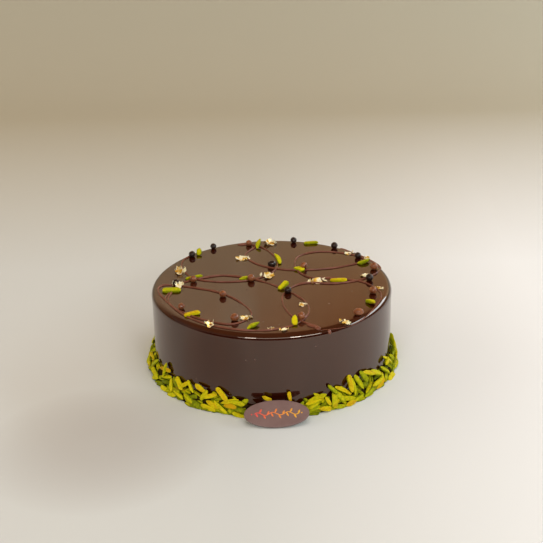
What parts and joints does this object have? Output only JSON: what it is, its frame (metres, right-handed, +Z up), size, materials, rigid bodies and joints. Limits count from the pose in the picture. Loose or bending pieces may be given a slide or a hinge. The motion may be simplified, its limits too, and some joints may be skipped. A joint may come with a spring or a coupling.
{
  "type": "chocolate-glazed kunafa cake",
  "caption": "Whole round cake under a dark mirror glaze, piped lines, crisp pearls and gold leaf on top, pistachio slivers heaped round its foot and a blank oval plaque leaning at the front.",
  "frame": {"origin": "centre of the cake's flat base, on the surface it stands on", "axes": "+Z up; the front, where the plaque leans, faces -Y; +X to the right as seen from the front"},
  "size_m": [0.2148, 0.2291, 0.0741],
  "materials": {
    "glaze": "mirror-glossy dark chocolate glaze",
    "pistachio": "matt cut pistachio, yellow-green with olive and ochre pieces",
    "chocolate": "satin tempered chocolate"
  },
  "bodies": {
    "root": {"cake": "glaze", "pistachio_heap": "pistachio", "plaque": "chocolate"}
  },
  "joints": []
}
